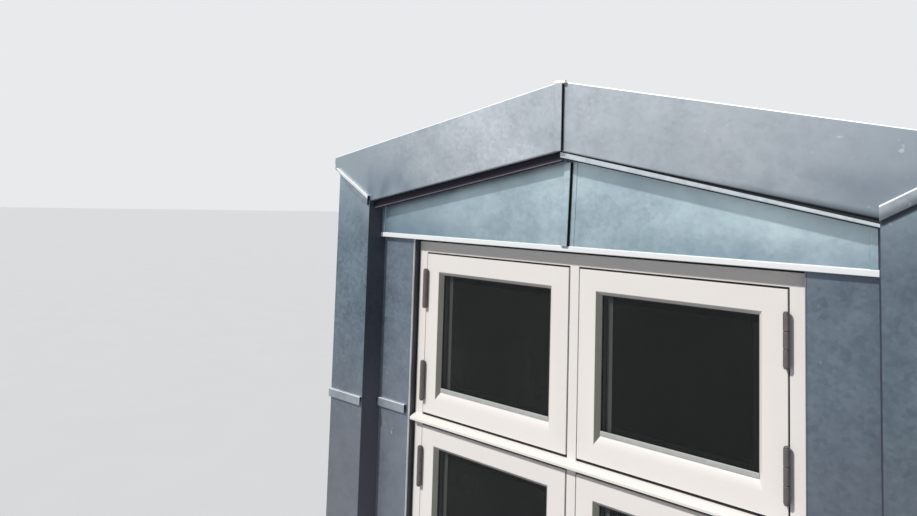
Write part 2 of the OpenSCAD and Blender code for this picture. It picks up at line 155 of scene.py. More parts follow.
def start_material(name):
    """A new material: itself, its shader and the tone of the place on the object."""
    material = bpy.data.materials.new(name)
    material.use_nodes = True
    tree = material.node_tree
    place = Tone(tree, tree.nodes.new("ShaderNodeTexCoord").outputs["Object"])
    return material, tree.nodes["Principled BSDF"], place


def connect(shader, **inputs):
    """Sets the shader's sockets: Base_Color stands for Base Color."""
    for key, value in inputs.items():
        socket = shader.inputs[key.replace("_", " ")]
        if isinstance(value, Tone):
            value.tree.links.new(value.socket, socket)
        else:
            socket.default_value = value


def blend(share, dark, light):
    """A colour between two colours, by a share from 0 to 1."""
    inputs = {0: share, 6: dark, 7: light}
    return share.node("ShaderNodeMix", {"data_type": "RGBA"}, inputs, output=2)


def noise(place, scale, detail=2.0, stretch=(1, 1, 1), shift=(0, 0, 0), distortion=0.0):
    """Cloudy noise from 0 to 1; stretch makes it finer along an axis."""
    where = place.node("ShaderNodeMapping", None, {"Vector": place, "Scale": stretch, "Location": shift})
    inputs = {"Vector": where, "Scale": scale, "Detail": detail, "Distortion": distortion}
    return place.node("ShaderNodeTexNoise", None, inputs)


floor_half = 60.0
floor_bounce = linear(150, 152, 155)
bpy.ops.object.select_all(action="DESELECT")
bpy.ops.mesh.primitive_plane_add(size=2 * floor_half, location=(0, 0, cad_low.z - 0.001))
bpy.ops.object.transform_apply(location=True, rotation=True, scale=True)
floor = bpy.context.object
floor.name = "floor"
floor_material, floor_shader, floor_place = start_material("floor_plaster")
floor_path = floor_material.node_tree.nodes.new("ShaderNodeLightPath")
floor_thrown = Tone(floor_material.node_tree, floor_path.outputs["Is Diffuse Ray"])
floor_shown = blend(noise(floor_place, 3.0, 4.0), linear(226, 227, 228), linear(232, 233, 233))
connect(floor_shader, Base_Color=blend(floor_thrown, floor_shown, floor_bounce), Roughness=0.9)
floor.data.materials.append(floor_material)
floor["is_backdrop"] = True

sky_colour = linear(232, 234, 236)
fill_colour = linear(222, 229, 238)
fill_strength = 0.29
world = bpy.data.worlds.new("studio")
world.use_nodes = True
bpy.context.scene.world = world
sky_tree = world.node_tree
sky_path = sky_tree.nodes.new("ShaderNodeLightPath")
sky_seen = (
    Tone(sky_tree, sky_path.outputs["Is Camera Ray"])
    + Tone(sky_tree, sky_path.outputs["Is Glossy Ray"])
    + Tone(sky_tree, sky_path.outputs["Is Transmission Ray"])
).maths("MINIMUM", 1.0)
fill = tuple(c * fill_strength for c in fill_colour[:3]) + (1.0,)
sky_tree.links.new(blend(sky_seen, fill, sky_colour).socket, sky_tree.nodes["Background"].inputs["Color"])

key_direction = Vector((0.43, 1.0, -1.0))
key_data = bpy.data.lights.new("key", "SUN")
key_data.energy = 3.0
key_data.angle = math.radians(3.0)
key_data.color = (1.0, 0.985, 0.96)
key = bpy.data.objects.new("key", key_data)
key.rotation_euler = key_direction.to_track_quat("-Z", "Y").to_euler()
bpy.context.scene.collection.objects.link(key)
bpy.context.scene.view_settings.view_transform = "Standard"


# Kerb, walls and roof boards
# Softwood kerb, posts and boarded walls, open to the room behind the window. They carry the zinc
# and show only from behind and below.
def dress(names, material):
    """Gives CAD nodes their finish."""
    for name in names:
        nodes[name].data.materials.clear()
        nodes[name].data.materials.append(material)


def boards(name, dark, light, board_w, axis):
    """Planed boards with grain along them and fine joints between them."""
    material, shader, place = start_material(name)
    grain = noise(place, 5.0, 5.0, stretch=[2.0 if i == axis else 26.0 for i in range(3)], distortion=0.4)
    knots = noise(place, 3.0, 1.0, stretch=[3.0 if i == axis else 9.0 for i in range(3)]).rise(0.7, 0.78)
    across = place.axes()[0 if axis == 2 else 2]
    joint = (across / board_w).maths("FRACT")
    joint = (joint - 0.5).size().rise(0.492, 0.5)
    plank = (across / board_w).maths("FLOOR")
    tint = plank.node("ShaderNodeTexWhiteNoise", {"noise_dimensions": "1D"}, {"W": plank})
    share = grain * 0.7 + tint * 0.3
    colour = blend(share, linear(*dark), linear(*light))
    colour = blend(knots * 0.6 + joint * 0.4, colour, linear(96, 62, 36))
    relief = {"Height": grain * 0.2 - joint, "Strength": 0.4, "Distance": 0.002}
    bump = place.node("ShaderNodeBump", None, relief)
    connect(shader, Base_Color=colour, Roughness=grain * 0.2 + 0.55, Normal=bump)
    return material


wall_boards = boards("wall_boards", (168, 128, 86), (216, 184, 140), board_w=0.12, axis=1)
roof_boards = boards("roof_boards", (172, 134, 92), (220, 190, 148), board_w=0.14, axis=1)
frame_timber = boards("frame_timber", (164, 122, 80), (208, 172, 126), board_w=0.095, axis=2)
dress(["cheek_wall_left", "cheek_wall_right"], wall_boards)
dress(["roof_deck_left", "roof_deck_right"], roof_boards)
dress(["window_post_left", "window_post_right", "gable_wall", "sill_wall", "roof_kerb"], frame_timber)


# Roof and side wall zinc
# Mill zinc about 0.7 mm thick in trays, joined by upright seams folded over at the head. The ridge
# cap is raised on its own folds, and the eaves end in a folded edge.
def zinc(name, dark, light, tint=None, rough=0.38, metallic=0.7, crystals=0.3):
    """Mottled zinc between two tones, with fine crystals; tint changes the tones over the piece."""
    material, shader, place = start_material(name)
    cloud = noise(place, 2.4, 3.0, shift=(3.1, 0.4, 7.7), distortion=0.6)
    patch = noise(place, 14.0, 3.0, shift=(1.7, 5.2, 0.3))
    inputs = {"Vector": place, "Scale": 90.0, "Detail": 1.0, "Smoothness": 0.3}
    crystal = place.node("ShaderNodeTexVoronoi", {"feature": "SMOOTH_F1"}, inputs, output=1)
    crystal = crystal.node("ShaderNodeSeparateColor", None, {"Color": crystal})
    streak = noise(place, 5.0, 2.0, stretch=(9, 9, 0.6))
    share = cloud.rise(0.32, 0.68) * (0.62 - crystals) + patch.rise(0.3, 0.7) * 0.24
    share = share + crystal * crystals + streak * 0.14
    colour = blend(share, linear(*dark), linear(*light))
    if tint:
        colour = tint(place, colour)
    spots = noise(place, 60.0, 1.0, shift=(9, 4, 1)).rise(0.70, 0.82) * cloud.rise(0.45, 0.65)
    colour = blend(spots * 0.35, colour, linear(222, 228, 232))
    wave = noise(place, 2.1, 1.0, shift=(4, 2, 9))
    grain = noise(place, 300.0, 2.0)
    relief = wave * 0.6 + patch * 0.03 + grain * 0.01
    bump = place.node("ShaderNodeBump", None, {"Height": relief, "Strength": 0.3, "Distance": 0.02})
    connect(shader, Base_Color=colour, Roughness=patch * 0.16 + crystal * 0.08 + rough, Normal=bump)
    connect(shader, Metallic=metallic)
    return material


roof_finish = zinc("roof_zinc_finish", (132, 144, 153), (176, 186, 193), rough=0.56, metallic=0.35)
side_finish = zinc("side_zinc_finish", (104, 118, 129), (146, 158, 168))
dress([name for name in nodes if name.startswith(("roof_zinc", "ridge_cap", "eave_trim"))], roof_finish)
dress(["cheek_zinc_left", "cheek_zinc_right"], side_finish)


# Pilasters
# One folded zinc sheet wraps the front edge of each side wall: round from the window's recess, over
# the face and back along the side. A cross seam hooks the upper sheet over the lower one.
lower_low, lower_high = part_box("pilaster_lower_right")
panel_low, panel_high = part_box("side_panel_upper_right")
seam_low, seam_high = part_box("mitre_seam_right")
fascia_low, fascia_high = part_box("fascia_right")
hair = 0.0001
sheet_t = 0.0015
skin_t = 0.001
bend_r = 0.0015
bend_reach = 0.002
fold_w = 0.027
fold_h = 0.010
fold_out = fold_h - skin_t / 2
fold_in = 0.0045
fold_back = 0.012
fold_bend = 0.0012
corner_return = 0.024
roof_slope = math.tan(math.radians(11.5))
origin = Vector((0, 0, 0))
into_main_roof = Vector((0, 1, -1))
face_y = lower_low.y
side_y = panel_low.y + fold_h
wall_x = lower_high.x
return_x = seam_low.x
inner_x = lower_low.x
foot_z = lower_low.z
joint_z = lower_high.z
cross_z = joint_z + sheet_t
apex_z = fascia_high.z
eave_x = fascia_high.x
eave_z = seam_high.z - 0.004
mitre_z = fascia_low.z
mitre_slope = (eave_z - mitre_z) / (eave_x - return_x)
under_z = mitre_z + return_x * roof_slope


def across(x):
    """A step to the right."""
    return Vector((x, 0, 0))


def inward(y):
    """A step from the front towards the room."""
    return Vector((0, y, 0))


def upward(z):
    """A step up."""
    return Vector((0, 0, z))


def alone(piece):
    """Leaves edit mode and selects one piece."""
    if bpy.context.mode != "OBJECT":
        bpy.ops.object.mode_set(mode="OBJECT")
    bpy.ops.object.select_all(action="DESELECT")
    piece.select_set(True)
    bpy.context.view_layer.objects.active = piece


def modify(piece, kind, **settings):
    """Adds a modifier and applies it."""
    alone(piece)
    modifier = piece.modifiers.new(kind.lower(), kind)
    for key, value in settings.items():
        setattr(modifier, key, value)
    bpy.ops.object.modifier_apply(modifier=modifier.name)


def thicken(piece, thickness=skin_t, offset=0):
    """Gives a surface its thickness."""
    modify(piece, "SOLIDIFY", thickness=thickness, offset=offset)


def anywhere(middle, direction=None):
    return True


def pick(piece, kind, test=anywhere):
    """Opens a piece with the vertices, edges or faces picked that pass the test: their middle, and a
    face's normal or an edge's direction."""
    alone(piece)
    mesh = piece.data
    bpy.context.tool_settings.mesh_select_mode = (kind == "VERT", kind == "EDGE", kind == "FACE")
    for group in (mesh.vertices, mesh.edges, mesh.polygons):
        group.foreach_set("select", [False] * len(group))
    if kind == "VERT":
        for vertex in mesh.vertices:
            vertex.select = test(vertex.co)
    if kind == "EDGE":
        for edge in mesh.edges:
            a, b = (mesh.vertices[i].co for i in edge.vertices)
            edge.select = test((a + b) / 2, (b - a).normalized())
    if kind == "FACE":
        for face in mesh.polygons:
            face.select = test(face.center, face.normal)
    bpy.ops.object.mode_set(mode="EDIT")


def plate(name, corner, along, up):
    """A flat plane from one corner, along and up by two vectors."""
    bpy.ops.object.select_all(action="DESELECT")
    bpy.ops.mesh.primitive_plane_add(size=1)
    piece = bpy.context.object
    piece.name = name
    turn = Matrix((along, up, along.cross(up))).transposed().to_4x4()
    piece.data.transform(Matrix.Translation(corner + along / 2 + up / 2) @ turn)
    return piece


def folded(name, corner, run, legs, bend=bend_r):
    """A strip of sheet folded as on a bench: a first leg, and the next ones drawn out from its edge.
    The legs turn at rounded bends."""
    piece = plate(name, corner, run, legs[0])
    place = corner + run / 2 + legs[0]
    for leg in legs[1:]:
        pick(piece, "EDGE", lambda middle, way: (middle - place).length < hair)
        bpy.ops.mesh.extrude_region_move(TRANSFORM_OT_translate={"value": leg})
        place = place + leg
    corners = [corner + run / 2 + sum(legs[: i + 1], Vector()) for i in range(len(legs) - 1)]
    pick(piece, "EDGE", lambda middle, way: any((middle - c).length < hair for c in corners))
    bpy.ops.mesh.bevel(offset=bend, segments=3, affect="EDGES")
    bpy.ops.object.mode_set(mode="OBJECT")
    return piece


def trim(piece, point, normal, test=anywhere):
    """Cuts off what lies beyond a plane, on the faces that pass the test."""
    pick(piece, "FACE")
    bpy.ops.mesh.bisect(plane_co=point, plane_no=normal)
    pick(piece, "FACE", lambda middle, way: (middle - point).dot(normal) > 0 and test(middle, way))
    bpy.ops.mesh.delete(type="FACE")
    bpy.ops.object.mode_set(mode="OBJECT")


def copied(piece, name, shift=(0, 0, 0)):
    """A copy with a mesh of its own, moved by a vector."""
    alone(piece)
    bpy.ops.object.duplicate(linked=False)
    twin = bpy.context.object
    twin.name = name
    twin.location = shift
    bpy.ops.object.transform_apply(location=True, rotation=True, scale=True)
    return twin


def outward(merge=False):
    """Turns all faces of the open piece outward and closes it; merge takes out edges in flat faces."""
    bpy.ops.mesh.select_all(action="SELECT")
    bpy.ops.mesh.normals_make_consistent(inside=False)
    if merge:
        bpy.ops.mesh.dissolve_limited(angle_limit=math.radians(1))
    bpy.ops.object.mode_set(mode="OBJECT")


def to_left(piece):
    """Turns a piece of the right side into that of the left side."""
    alone(piece)
    piece.scale.x = -1
    bpy.ops.object.transform_apply(location=True, rotation=True, scale=True)
    pick(piece, "FACE")
    outward()


def both_sides(right, left_name):
    """A right-hand piece and its mirror image, each with the name of its side."""
    left = copied(right, left_name)
    to_left(left)
    return ("right", right), ("left", left)


def close(piece):
    """Ends the editing and shades bends smooth, folds sharp and large faces flat."""
    alone(piece)
    bpy.ops.object.shade_smooth_by_angle(angle=math.radians(35))
    modify(piece, "WEIGHTED_NORMAL", keep_sharp=True)


def place_piece(piece, material, slot, *replaced):
    """A finished piece gets its finish and rides on the part."""
    close(piece)
    piece.data.materials.clear()
    piece.data.materials.append(material)
    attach(piece, "root")
    if replaced:
        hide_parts(*replaced)


def paint_faces(piece, material, test):
    """Gives the faces that pass the test a finish of their own."""
    piece.data.materials.append(material)
    for face in piece.data.polygons:
        if test(face.center, face.normal):
            face.material_index = len(piece.data.materials) - 1


def front_sheet(name, z0, z1):
    """A pilaster's sheet between two heights: the return, the face and the leg along the side."""
    legs = [
        Vector((return_x - inner_x, face_y - side_y, 0)),
        across(wall_x - return_x),
        inward(corner_return),
    ]
    return folded(name, Vector((inner_x, side_y, z0)), upward(z1 - z0), legs)


def cross_fold(name, x0, x1, y, z):
    """A fold that hangs over a cross joint, open below, with its sheet turned back inside."""
    legs = [inward(-fold_out), upward(-fold_w), inward(fold_in), upward(fold_back)]
    piece = folded(name, Vector((x0, y, z)), across(x1 - x0), legs, bend=fold_bend)
    thicken(piece)
    return piece


def over_mitre(place):
    """The height over the line where fascia and pilaster meet."""
    x, y, z = place.axes()
    return z - x.size() * mitre_slope - (mitre_z - return_x * mitre_slope)


def pilaster_tint(place, colour):
    """Bluer under the roof, greyer near the foot, duller on the right, with painted shade under the mitre
    fold on the right.
    """
    height = place.axes()[2]
    low = height.rise(1.15, 0.5) * (noise(place, 3.0, 2.0, shift=(2, 2, 5)) * 0.5 + 0.35)
    colour = blend(low, colour, linear(132, 131, 138))
    colour = blend(height.rise(1.25, 1.45) * 0.45, colour, linear(168, 184, 194))
    right = place.axes()[0].rise(0.0, 0.2)
    colour = blend(right * 0.3, colour, linear(58, 66, 72))
    # Painted shade: a dark band just under the right mitre fold, where its shadow falls.
    return blend(over_mitre(place).rise(-0.022, -0.012) * right * 0.75, colour, linear(28, 31, 38))


def return_tint(place, colour):
    """Paler towards the foot of the recess."""
    return blend(place.axes()[2].rise(1.0, 0.45) * 0.6, colour, linear(112, 110, 120))


pilaster_finish = zinc("pilaster_zinc", (80, 95, 108), (130, 146, 159), pilaster_tint, rough=0.44)
# Painted shade: the return is the pilaster's own sheet, given a darker copy of its zinc because it lies in
# shade.
return_painted_shade = zinc("return_zinc", (58, 62, 76), (84, 89, 102), return_tint, rough=0.5)
fold_finish = zinc("fold_zinc", (142, 153, 160), (176, 184, 190), rough=0.36)
# Painted highlight: a near-white copy of the zinc for the upper edges of the folds and the left hem.
fold_highlight = zinc("bright_fold_zinc", (204, 208, 210), (230, 231, 231), rough=0.44)
lower_sheet = front_sheet("pilaster_lower_sheet_right", foot_z, joint_z)
trim(lower_sheet, origin, into_main_roof)
upper_sheet = front_sheet("pilaster_upper_sheet_right", joint_z, apex_z)
under_roof = Vector((roof_slope, 0, 1))
trim(upper_sheet, upward(under_z - sheet_t), under_roof, lambda middle, way: middle.x < return_x)
on_mitre = Vector((return_x, 0, mitre_z))
over = Vector((-mitre_slope, 0, 1))
trim(upper_sheet, on_mitre, over, lambda middle, way: middle.y < face_y + bend_reach)
trim(upper_sheet, upward(eave_z), upward(1))
for part, sheet in (("lower", lower_sheet), ("upper", upper_sheet)):
    thicken(sheet, offset=1)
    for side, piece in both_sides(sheet, f"pilaster_{part}_sheet_left"):
        place_piece(piece, pilaster_finish, "zinc", f"pilaster_{part}_{side}")
        # The return faces get the painted shade.
        paint_faces(piece, return_painted_shade, lambda middle, way: abs(middle.x) < return_x - skin_t / 2)
pilaster_seam = cross_fold("pilaster_seam_right", return_x, wall_x, face_y, cross_z)
for side, seam in both_sides(pilaster_seam, "pilaster_seam_left"):
    place_piece(seam, fold_finish, "zinc")
    # The top of each cross fold gets the painted highlight.
    paint_faces(seam, fold_highlight, lambda middle, way: middle.z > cross_z - bend_reach)


# Side panels
# Flat zinc beside the window, folded back into the joint round the frame, with a cross seam a little
# lower than the pilaster's and a turned hem along the window. The hem has a painted highlight on the
# left and painted shade on the right, and the leg turned into the joint has painted shade.
panel_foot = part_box("side_panel_lower_right")[0]
apron_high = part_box("apron_panel")[1]
reveal_x = apron_high.x
turned_x = panel_foot.x
side_cross_z = panel_low.z + fold_w
side_joint_z = side_cross_z - sheet_t
seam_from_joint = 0.012
seam_from_return = 0.002
hem_t = 0.0008
hem_w = 0.002
hem_in = 0.004
hem_proud = 0.001
hem_bend = 0.0005


def panel_tint(place, colour):
    """Greyer near the foot, paler left of the window and duller right of it."""
    x, y, z = place.axes()
    low = z.rise(1.1, 0.45) * (noise(place, 3.0) * 0.5 + 0.3)
    colour = blend(low, colour, linear(134, 134, 143))
    colour = blend(x.rise(0.2, -0.2) * (z.rise(0.9, 1.3) * 0.08 + 0.09), colour, linear(170, 182, 194))
    return blend(x.rise(-0.2, 0.2) * 0.2, colour, linear(60, 66, 76))


panel_finish = zinc("side_panel_zinc", (80, 93, 107), (128, 142, 155), panel_tint, rough=0.46)
# Painted shade: a dark, nearly matt copy of the zinc for the leg turned into the joint.
turned_leg_shade = zinc("turned_edge_zinc", (74, 76, 82), (90, 92, 97), rough=0.6, metallic=0.1)
hem_shaded_grey = zinc("grey_hem_zinc", (112, 118, 124), (134, 140, 145), rough=0.45)
for part, z0, z1 in (("lower", foot_z, side_joint_z), ("upper", side_joint_z, panel_high.z)):
    legs = [inward(side_y - panel_high.y), across(inner_x - turned_x)]
    corner = Vector((turned_x, panel_high.y, z0))
    sheet = folded(f"side_panel_{part}_sheet_right", corner, upward(z1 - z0), legs)
    trim(sheet, origin, into_main_roof)
    thicken(sheet, offset=1)
    for side, panel in both_sides(sheet, f"side_panel_{part}_sheet_left"):
        place_piece(panel, panel_finish, "zinc", f"side_panel_{part}_{side}")
        # The leg turned into the joint gets the painted shade.
        paint_faces(panel, turned_leg_shade, lambda middle, way: abs(middle.x) < turned_x + bend_reach)
seam_x0 = reveal_x + seam_from_joint
seam_x1 = inner_x - seam_from_return
panel_seam = cross_fold("side_panel_seam_right", seam_x0, seam_x1, side_y, side_cross_z)
for side, seam in both_sides(panel_seam, "side_panel_seam_left"):
    place_piece(seam, fold_finish, "zinc")
    # The top of each cross fold gets the painted highlight.
    paint_faces(seam, fold_highlight, lambda middle, way: middle.z > side_cross_z - bend_reach)
legs = [inward(-hem_in - hem_proud), across(hem_w), inward(hem_proud)]
corner = Vector((turned_x - skin_t / 2, side_y + hem_in, apron_high.z))
run = upward(panel_high.z - corner.z)
panel_hem = folded("side_panel_hem_right", corner, run, legs, bend=hem_bend)
thicken(panel_hem, hem_t)
for side, hem in both_sides(panel_hem, "side_panel_hem_left"):
    # Painted light: the left hem gets the painted highlight, the right hem a shaded grey copy.
    place_piece(hem, fold_highlight if side == "left" else hem_shaded_grey, "zinc")


# Fascias
# Two zinc boards along the roof edge, hemmed under at the foot and rolled back over the roof at the
# top. Each is mitred against its pilaster under a sloping fold, with a black plate as painted shade in the
# fold's open end.
fascia_h = apex_z - under_z
top_bend = 0.004
top_in = 0.014
foot_in = 0.012
spare_run = 0.3
seam_drop = fold_w * math.sqrt(1 + mitre_slope**2)
seam_rise = {"right": 0.025, "left": 0.017}
bright_w = {"right": 0.004, "left": 0.011}
bright_share = 0.95
seam_end_x = eave_x - 0.006
corner_fall = 1.3
slot_t = 0.0006
slot_edge = 0.001
slot_in = 0.002
slot_short = 0.004


def fascia_tint(place, colour):
    """Paler near the apex, with a blue bloom low towards the eaves, painted shade above the foot towards
    the right end and a painted highlight along the rolled edge.
    """
    x, y, z = place.axes()
    out = x.size()
    colour = blend(out.rise(0.15, 0.95), colour, blend(out.rise(0.2, 0.9), colour, linear(150, 161, 170)))
    low_out = (z + out * roof_slope - apex_z).rise(-0.02, -0.17) * out.rise(0.42, 0.68)
    bloom = noise(place, 5.0, 2.0, shift=(0, 6, 2), distortion=0.8).rise(0.3, 0.75)
    colour = blend(low_out * bloom, colour, linear(92, 112, 130))
    green = noise(place, 4.0, 2.0, shift=(3, 0, 9)).rise(0.45, 0.75) * 0.35
    colour = blend(green, colour, linear(158, 172, 172))
    colour = blend(x.rise(-0.25, 0.5) * 0.4, colour, linear(124, 131, 139))
    # Painted shade above the foot towards the right end.
    foot = (z + out * roof_slope - under_z).rise(0.016, 0.001) * x.rise(0.2, 0.72)
    colour = blend(foot * 0.7, colour, linear(62, 72, 82))
    # Painted highlight along the rolled top edge.
    edge = (z + out * roof_slope - apex_z).rise(-0.0038, -0.0024)
    return blend(edge, colour, linear(230, 233, 235))


def fold_tint(place, colour):
    """Darker towards the foot of the fold."""
    return blend(over_mitre(place).rise(0.017, -0.004) * 0.75, colour, linear(74, 82, 90))


def grained(name, dark, light, scale, detail, rough, spread=0.0, stretch=(1, 1, 1), **inputs):
    """A coat between two tones, with a grain that may also spread its roughness."""
    material, shader, place = start_material(name)
    grain = noise(place, scale, detail, stretch)
    roughness = grain * spread + rough if spread else rough
    connect(shader, Base_Color=blend(grain, linear(*dark), linear(*light)), Roughness=roughness, **inputs)
    return material


fascia_finish = zinc("fascia_zinc", (158, 165, 173), (196, 202, 209), fascia_tint, rough=0.4, crystals=0.22)
mitre_finish = {
    "right": zinc("right_mitre_zinc", (128, 138, 146), (162, 170, 176), fold_tint, rough=0.4),
    "left": zinc("left_mitre_zinc", (122, 134, 146), (150, 160, 170), rough=0.4),
}
# Black for real tape, seals and gaskets, and also painted shade where black sheets stand in open fold ends
# and gaps.
black_tape_and_shade = grained("black_joint_tape", (18, 20, 24), (34, 36, 40), 400.0, 2.0, 0.8)

run = Vector((eave_x, 0, -eave_x * roof_slope))
legs = [inward(-foot_in), upward(fascia_h + sheet_t), inward(top_in)]
corner = Vector((0, face_y + foot_in, under_z - sheet_t))
fascia_board = folded("fascia_board_right", corner, run, legs, bend=top_bend)
trim(fascia_board, on_mitre, Vector((mitre_slope, 0, -1)))
thicken(fascia_board, offset=-1)
for side, board in both_sides(fascia_board, "fascia_board_left"):
    place_piece(board, fascia_finish, "zinc", "fascia_" + side)

for side in ("right", "left"):
    corner = Vector((return_x, face_y, mitre_z + seam_rise[side]))
    legs = [
        inward(-fold_out),
        upward(-bright_w[side]),
        upward(bright_w[side] - seam_drop),
        inward(fold_in),
        upward(fold_back),
    ]
    run = Vector((1, 0, mitre_slope)) * spare_run
    seam = folded("mitre_fold_" + side, corner, run, legs, bend=fold_bend)
    seam_end = Vector((seam_end_x, 0, corner.z + mitre_slope * (seam_end_x - return_x)))
    trim(seam, upward(seam_high.z), upward(1))
    trim(seam, seam_end, across(1))
    trim(seam, seam_end, Vector((corner_fall, 0, -1)))
    thicken(seam)
    # Painted shade: a black plate in the open end of the fold.
    slot = plate(
        "mitre_slot_" + side,
        Vector((return_x + slot_edge, face_y - fold_h + slot_in, corner.z - seam_drop + slot_edge)),
        inward(fold_h - slot_in),
        upward(seam_drop - slot_short),
    )
    thicken(slot, slot_t)
    if side == "left":
        to_left(seam)
        to_left(slot)
    place_piece(seam, mitre_finish[side], "zinc", "mitre_seam_" + side)
    # Painted highlight along the upper edge of each mitre fold.
    bright_z = corner.z - return_x * mitre_slope - bright_w[side] * bright_share
    paint_faces(seam, fold_highlight, lambda middle, way: middle.z - abs(middle.x) * mitre_slope > bright_z)
    place_piece(slot, black_tape_and_shade, "seal")


# Apex of the fascias
# The two boards meet in an upright joint. One is folded out over it and turned back behind itself,
# black tape in the gap beside the fold also stands for the shade in it, and a cream capping covers the top.
cap_low, cap_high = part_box("apex_cap")
cap_h = 0.009
cap_round = 0.005
cap_edge = 0.0012
apex_fold_w = 0.024
apex_fold_back = 0.012
apex_tape_in = 0.002
apex_tape_w = 0.013
turn_gap = 0.0015
tape_rise = 0.0008
tape_t = 0.0004
tape_bend = 0.0003


def upright_fold(name, corner, run, width, back, finish, *replaced):
    """A fold over an upright joint: out from the face, across it and turned back behind itself."""
    legs = [inward(-fold_out), across(width), inward(turn_gap), across(-back)]
    fold = folded(name, corner, run, legs, bend=fold_bend)
    thicken(fold)
    place_piece(fold, finish, "zinc", *replaced)


def joint_tape(name, corner, run, width):
    """Black tape in the open joint that a fold covers, also standing for the shade in the gap."""
    legs = [inward(-tape_rise), across(width), inward(tape_rise)]
    tape = folded(name, corner, run, legs, bend=tape_bend)
    thicken(tape, tape_t)
    place_piece(tape, black_tape_and_shade, "seal")


def block(name, low, high):
    """A block between two corners, to be shaped further."""
    bpy.ops.object.select_all(action="DESELECT")
    bpy.ops.mesh.primitive_cube_add(size=1, location=(low + high) / 2, scale=high - low)
    bpy.ops.object.transform_apply(location=True, rotation=True, scale=True)
    piece = bpy.context.object
    piece.name = name
    return piece


cap_finish = zinc("cap_zinc", (222, 220, 208), (240, 238, 228), rough=0.35)
apex_run = upward(apex_z - cap_h - cap_low.z)
corner = Vector((cap_low.x, face_y, cap_low.z))
upright_fold("apex_fold", corner, apex_run, apex_fold_w, apex_fold_back, fascia_finish, "apex_cap")
joint_tape("apex_joint", Vector((-apex_tape_in, face_y, cap_low.z)), apex_run, apex_tape_w)
cap = block("apex_cap_tab", Vector((cap_low.x, cap_low.y, apex_z - cap_h)), cap_high)
pick(cap, "EDGE", lambda middle, way: middle.y < cap_low.y + hair and middle.z > apex_z)
bpy.ops.mesh.bevel(offset=cap_round, segments=4, affect="EDGES")
modify(cap, "BEVEL", width=cap_edge, segments=2, limit_method="ANGLE")
place_piece(cap, cap_finish, "zinc")


# Gable
# Two zinc panels under the roof edge, with a flat folded strip at each outer end. The upright joint
# between them is covered by a fold on one side and a lap on the other.
gable_left_low, gable_left_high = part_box("gable_panel_left")
gable_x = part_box("gable_panel_right")[1].x
gable_y = gable_left_high.y - sheet_t
gable_z = gable_left_low.z
gable_spare = 0.3
end_strip_w = 0.0155
end_strip_gap = 0.0005
end_strip_rise = 0.0025
end_strip_bend = 0.001
end_strip_t = 0.0008
gable_fold_in = 0.019
gable_fold_w = 0.020
gable_fold_back = 0.010
gable_fold_lean = 0.008
gable_fold_short = 0.030
gable_tape_in = 0.010
gable_tape_w = 0.014
lap_from_middle = 0.006
lap_w = 0.012
lap_rise = 0.0012
lap_bend = 0.0004
lap_t = 0.0006


def gable_painted_reflections(place, colour):
    """Painted reflections: pale blooms in the middle of each half, a darker far left and a bluer foot."""
    x, y, z = place.axes()
    share = (x.size() - 0.42).size().rise(0.34, 0.02) * (z - gable_z).rise(0.0, 0.09)
    bloom = noise(place, 6.0, 2.0, shift=(8, 1, 3), distortion=0.5)
    colour = blend(share * bloom.rise(0.25, 0.7) * 0.6, colour, linear(192, 211, 218))
    colour = blend(x.rise(-0.28, -0.6) * 0.4, colour, linear(100, 124, 140))
    foot = (z - gable_z).rise(0.07, 0.0) * x.size().rise(0.1, 0.5)
    return blend(foot * 0.5, colour, linear(122, 146, 162))


gable_tones = ((142, 162, 172), (190, 206, 213))
# The gable zinc carries painted reflections through its tint.
gable_zinc_and_reflections = zinc("gable_zinc", *gable_tones, gable_painted_reflections, rough=0.34, metallic=0.88, crystals=0.12)
under_fascia = upward(under_z - sheet_t)
tall = upward(gable_spare)
gable_half = plate("gable_half_right", Vector((0, gable_y, gable_z)), across(gable_x), tall)
trim(gable_half, under_fascia, under_roof)
thicken(gable_half, offset=-1)
for side, half in both_sides(gable_half, "gable_half_left"):
    place_piece(half, gable_zinc_and_reflections, "zinc", "gable_panel_" + side)
corner = Vector((gable_x - end_strip_gap - end_strip_w, gable_y, gable_z))
legs = [inward(-end_strip_rise), across(end_strip_w)]
end_strip = folded("gable_end_strip_right", corner, tall, legs, bend=end_strip_bend)
trim(end_strip, under_fascia, under_roof)
thicken(end_strip, end_strip_t)
for side, strip in both_sides(end_strip, "gable_end_strip_left"):
    place_piece(strip, gable_zinc_and_reflections, "zinc")
gable_run = Vector((gable_fold_lean, 0, under_z - gable_fold_short - gable_z))
corner = Vector((-gable_fold_in, gable_y, gable_z))
upright_fold("gable_fold", corner, gable_run, gable_fold_w, gable_fold_back, gable_zinc_and_reflections)
# The black tape in the gable joint also stands for the shade beside the fold.
joint_tape("gable_joint", Vector((-gable_tape_in, gable_y, gable_z)), gable_run, gable_tape_w)
legs = [inward(-lap_rise), across(lap_w), inward(lap_rise)]
gable_lap = folded("gable_lap", Vector((lap_from_middle, gable_y, gable_z)), gable_run, legs, bend=lap_bend)
thicken(gable_lap, lap_t)
place_piece(gable_lap, gable_zinc_and_reflections, "zinc")


